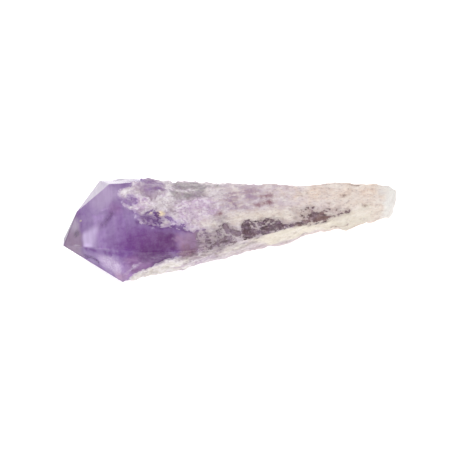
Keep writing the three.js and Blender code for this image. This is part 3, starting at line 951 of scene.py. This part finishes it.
def crust_tint(tree, crumb):
    """A ramp of x over the ramp's length plus its value over the origin, then the zones, the clouds,
    the violet and the sugary grains, each blended over the colour so far."""
    along = tree.add("ShaderNodeSeparateXYZ", None, {0: tree.place((RAMP_LENGTH, 1, 1))})
    along = along + RAMP_AT_MIDDLE
    crust = tree.ramp(along + 0.12 * (tree.spots(6, 2, (2, 1, 1)) - 0.5), BODY_TINTS)
    for name, (tint, _) in SKIN_ZONES.items():
        crust = tree.blend(tree.mark(name), crust, colour(tint))
    cloudy = tree.spots(2.2, 4, (2.2, 1, 1)).step(0.4, 0.62)
    crust = tree.blend(0.3 * cloudy, crust, colour("ece6e2"))
    even_part = 1 - 0.7 * tree.mark("low white")
    violet = tree.spots(2, 5, (1.6, 1, 1), shift=20, harsh=0.65).step(0.5, 0.62) * crumb
    crust = tree.blend(0.4 * violet * even_part, crust, colour("a583b4"))
    sugar = tree.grains(0.6, "Color", (1.3, 1, 1))
    dull = tree.mark("mauve brown") + tree.mark("grey strip") + tree.mark("grey middle")
    dull = dull + tree.mark("violet crust") + 0.5 * tree.mark("grey low")
    sugared = (0.12 + 0.46 * crumb) * (1 - 0.75 * dull)
    crust = tree.blend(sugar.step(0.5, 0.8) * sugared, crust, colour("f2edf0"))
    dark_grains = sugar.step(0.4, 0.15) * (0.1 + 0.3 * crumb)
    return tree.blend(dark_grains * even_part, crust, colour("96809a"))


print("zones laid over the skin:", ", ".join(SKIN_ZONES))

# %% [markdown]
# Weather and wear go over the skin: brown and pale streaks along the body, thin dark lines in the
# crumbly part and grit. Then painted shade darkens the hollows.

# %% Wear and painted shade of the skin
def weathered_and_shaded(tree, crust, crumb):
    """The skin's colour with streaks, lines, grit and painted shade in the hollows, each blended over it
    by its mask times a strength. The plain parts have less of them."""
    plain_parts = tree.mark("root") + 0.7 * tree.mark("cream") + tree.mark("low white")
    veined = (1 - 0.7 * plain_parts) * (1 - 0.6 * crumb)
    streaks = tree.spots(0.9, 5, (3, 1, 1), shift=31, harsh=0.6).step(0.48, 0.6)
    crust = tree.blend(0.35 * streaks * veined, crust, colour("bca398"))
    pale_streaks = tree.spots(1.1, 5, (2.2, 1, 1), shift=57, harsh=0.6).step(0.5, 0.62)
    crust = tree.blend(0.4 * pale_streaks * veined, crust, colour("f3ece2"))
    crust = tree.blend(0.35 * tree.lines(3, 0.02, (2, 1, 1), 43) * crumb, crust, colour("8e7387"))
    grit = tree.spots(0.5, 4, (1.8, 1, 1), shift=7, harsh=0.65).step(0.55, 0.64)
    gritty = 0.4 - 0.3 * plain_parts + 0.35 * tree.mark("grey strip")
    crust = tree.blend(grit * gritty, crust, colour("84757b"))
    # Painted shade in the hollows: a darker mauve where the relief is low.
    return tree.blend(0.4 * tree.mark("hollow"), crust, colour("957d8d"))


print("mean of the hollows' mark:", round(marks["hollow"].mean(), 3))

# %% [markdown]
# The last step puts the two colours together under the cover of the skin, adds the small marks and the
# relief that is finer than the mesh, and mixes glass with solid.

# %% Amethyst material
QUARTZ_IOR = 1.544
SOLID_SHARE = 0.6
SKIN_SOLID_SHARE = 0.9
BUMP_HEIGHT = 0.2 * MM
INSIDE_COLOUR = (0.66, 0.4, 0.74, 1)
INSIDE_DENSITY = 60.0


def amethyst_material():
    """Glass and solid in one Mix Shader. Its factor is the solid share of the clear part, blended with
    that of the skin by the skin's cover."""
    tree = Tree("amethyst")
    crumb = tree.mark("crumbly")
    in_window = tree.mark("dark window")
    across_lines = tree.spots(0.9, 2, (1, 14, 14)).step(0.35, 0.65)
    covered, thick = skin_cover(tree)
    clear = clear_tint(tree, across_lines, in_window)
    crust = weathered_and_shaded(tree, crust_tint(tree, crumb), crumb)
    crust = tree.blend(0.4 * (1 - thick), crust, clear)
    worn = tree.spots(0.7, 4, shift=91, harsh=0.65).step(0.4, 0.52)
    for name, (tint, _) in SMALL_MARKS.items():
        crust = tree.blend(tree.mark(name) * (0.35 + 0.55 * worn), crust, colour(tint))

    base = tree.blend(covered, clear, crust)
    # A painted highlight along the worn ridges of the pyramid.
    base = tree.blend(0.12 * tree.mark("ridge"), base, colour("e4d6ec"))
    fine = tree.spots(0.5, 3) + 0.6 * (1 - tree.grains(1.1, "Distance")) * crumb
    relief_bump = tree.add("ShaderNodeBump", None, {
        "Strength": 0.6, "Distance": BUMP_HEIGHT, "Height": fine * thick + 0.05 * across_lines,
    })
    rough = 0.12 + 0.08 * tree.spots(5, 3) + covered * (0.3 + 0.25 * tree.spots(1.5, 2))
    solid = tree.add("ShaderNodeBsdfPrincipled", None, {
        "Base Color": base, "Roughness": rough, "IOR": QUARTZ_IOR, "Specular IOR Level": 0.35,
        "Normal": relief_bump,
    })
    glass = tree.add("ShaderNodeBsdfPrincipled", None, {
        "Base Color": colour("f8f4fc"), "Roughness": 0.05 + 0.4 * covered, "IOR": QUARTZ_IOR,
        "Transmission Weight": 1.0, "Normal": relief_bump,
    })
    # Veils, and the bright patch's painted reflection, take a larger solid share.
    pale_zones = tree.mark("veil") + tree.mark("bright patch") + tree.mark("low patch")
    dense = tree.mark("deep") + tree.mark("under ridge") + tree.mark("tip face")
    dense = dense + 0.5 * tree.mark("violet crumbs")
    share = SOLID_SHARE + 0.12 * pale_zones + 0.32 * dense - 0.1 * tree.mark("smoke") + 0.2 * in_window
    share = share + covered * (SKIN_SOLID_SHARE - share)
    surface = tree.add("ShaderNodeMixShader", None, {0: share, 1: glass, 2: solid})
    absorption = {"Color": INSIDE_COLOUR, "Density": INSIDE_DENSITY}
    inside = tree.add("ShaderNodeVolumeAbsorption", None, absorption)
    tree.add("ShaderNodeOutputMaterial", None, {"Surface": surface, "Volume": inside})
    return tree.material


crystal.data.materials.append(amethyst_material())
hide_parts(CRYSTAL)
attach(crystal, "root")
print("nodes of the amethyst:", len(crystal.data.materials[0].node_tree.nodes))

# %% [markdown]
# ## The stage
#
# Stones are often photographed on a table of white glass with light under it, which takes the shadow
# away and lights the clear parts from below. The floor here does the same with a little glow of its
# own. It is a hair lower than the crystal's flat face, because two surfaces in one plane would flicker
# in the glass.

# %% Stage
HALF_FLOOR = 1.5
FLOOR_GAP = 0.05 * MM
FLOOR_GLOW = 0.5
FLOOR_WHITE = (0.9, 0.9, 0.9, 1)


def stage_material():
    """White glass lit from below: a nearly white matt surface that glows a little."""
    tree = Tree("stage")
    shader = tree.add("ShaderNodeBsdfPrincipled", None, {
        "Base Color": FLOOR_WHITE, "Roughness": 0.8, "Emission Color": (1, 1, 1, 1),
        "Emission Strength": FLOOR_GLOW,
    })
    tree.add("ShaderNodeOutputMaterial", None, {"Surface": shader})
    return tree.material


floor_mesh = bpy.data.meshes.new("floor")
floor_corners = [(-1, -1), (1, -1), (1, 1), (-1, 1)]
floor_points = [(x * HALF_FLOOR, y * HALF_FLOOR, -FLOOR_GAP) for x, y in floor_corners]
floor_mesh.from_pydata(floor_points, [], [range(4)])
floor_mesh.materials.append(stage_material())
floor = bpy.data.objects.new("floor", floor_mesh)
bpy.context.collection.objects.link(floor)
print("width of the floor in m:", 2 * HALF_FLOOR)

# %% [markdown]
# ## The light
#
# The photograph was taken in soft light from all sides, with hardly a shadow. A bright even world does
# most of that. One large lamp behind on the left gives the lumps of the skin their shape, and a weak
# one in front lifts the lower face.

# %% Light
WORLD_STRENGTH = 0.88


def area_light(name, azimuth, elevation, distance, size, power):
    """A round lamp that looks at the crystal, with angles in degrees, distances in metres and power in
    watts."""
    data = bpy.data.lights.new(name, "AREA")
    data.shape = "DISK"
    data.size = size
    data.energy = power
    lamp = bpy.data.objects.new(name, data)
    lamp.matrix_world = looking(math.radians(azimuth), math.radians(elevation), AIM, distance)
    bpy.context.collection.objects.link(lamp)


area_light("key", azimuth=215, elevation=55, distance=0.9, size=0.5, power=2.4)
area_light("fill", azimuth=10, elevation=35, distance=1.0, size=0.8, power=1.5)
world = bpy.data.worlds.new("world")
world.use_nodes = True
background = world.node_tree.nodes["Background"]
background.inputs["Color"].default_value = (1, 1, 1, 1)
background.inputs["Strength"].default_value = WORLD_STRENGTH
bpy.context.scene.world = world
bpy.context.scene.view_settings.view_transform = "Standard"
bpy.context.scene.cycles.use_denoising = True
print("lamps:", [light.name for light in bpy.data.lights], "and a world of", WORLD_STRENGTH)

# %% [markdown]
# ## The size of the result
#
# The box of the dressed crystal can't be larger than the solid's, because the points were held inside
# the solid's box.
